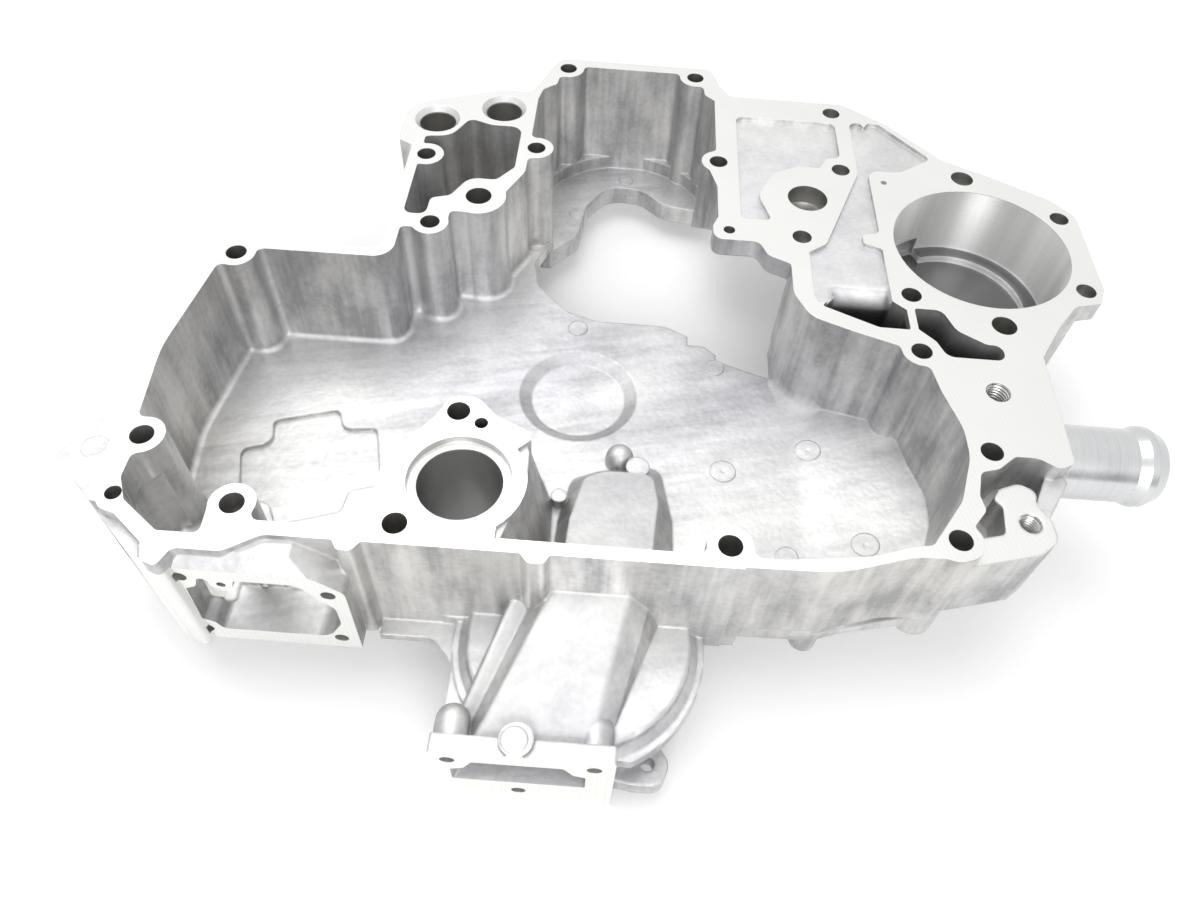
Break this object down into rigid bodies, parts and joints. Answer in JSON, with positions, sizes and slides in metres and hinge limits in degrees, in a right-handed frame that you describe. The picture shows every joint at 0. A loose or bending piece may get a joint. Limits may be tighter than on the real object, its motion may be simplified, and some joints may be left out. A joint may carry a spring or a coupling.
{
  "type": "engine gear case",
  "caption": "Cast aluminium timing gear case with a flat machined mating face, a deep gear chamber, a crank opening, a round pump bore, a screwed front duct and a hose spigot.",
  "frame": {"origin": "centre of the drive bore on the machined mating face", "axes": "+Z out of the mating face along the drive bore, +X towards the pump bore end and the hose spigot, +Y towards the crank chamber; the case lies with its mating face up"},
  "size_m": [0.427, 0.3741, 0.086],
  "materials": {
    "cast_aluminium": "fine sand-grey casting with bright milled faces and turned bores",
    "spigot_tube": "smooth drawn tube, bright"
  },
  "bodies": {
    "root": {"gear_case": "cast_aluminium", "hose_spigot": "spigot_tube"}
  },
  "joints": []
}
